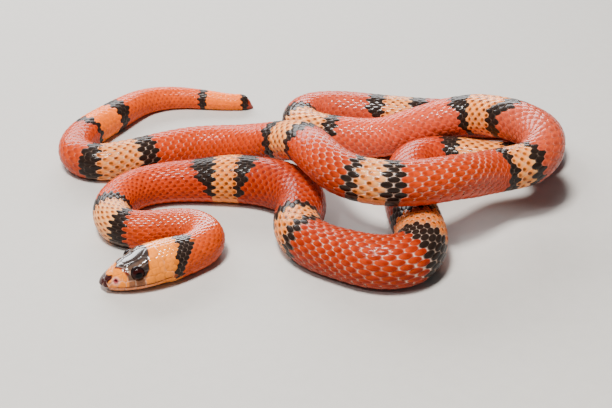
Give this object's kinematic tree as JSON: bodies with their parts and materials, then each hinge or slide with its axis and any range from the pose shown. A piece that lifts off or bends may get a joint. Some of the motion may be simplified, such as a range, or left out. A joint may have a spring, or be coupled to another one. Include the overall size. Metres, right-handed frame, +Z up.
{
  "type": "milk snake model",
  "caption": "Life-size still model of a banded milk snake lying in loose crossing coils, chin on the floor, parted into head, neck, body lengths and tail.",
  "frame": {"origin": "on the floor, below the centre of the box round the whole coiled animal", "axes": "+Z up; +X to the right and +Y away as the picture sees the animal, whose head points towards -X and slightly towards -Y"},
  "size_m": [0.1886, 0.1417, 0.0313],
  "materials": {
    "scales_red": "glossy smooth scales, red-orange with cream and black bands",
    "scales_head": "glossy plates, black cap and pale orange bands",
    "scales_tail": "glossy smooth scales, orange with black bands",
    "eye": "very glossy, almost black"
  },
  "bodies": {
    "root": {"head": "scales_head", "eye_left": "eye", "eye_right": "eye", "neck": "scales_red", "body_01": "scales_red", "body_02": "scales_red", "body_03": "scales_red", "body_04": "scales_red", "body_05": "scales_red", "body_06": "scales_red", "body_07": "scales_red", "body_08": "scales_red", "body_09": "scales_red", "body_10": "scales_red", "body_11": "scales_red", "body_12": "scales_red", "body_13": "scales_red", "body_14": "scales_red", "body_15": "scales_red", "body_16": "scales_red", "body_17": "scales_red", "tail": "scales_tail", "tail_tip": "scales_tail"}
  },
  "joints": []
}
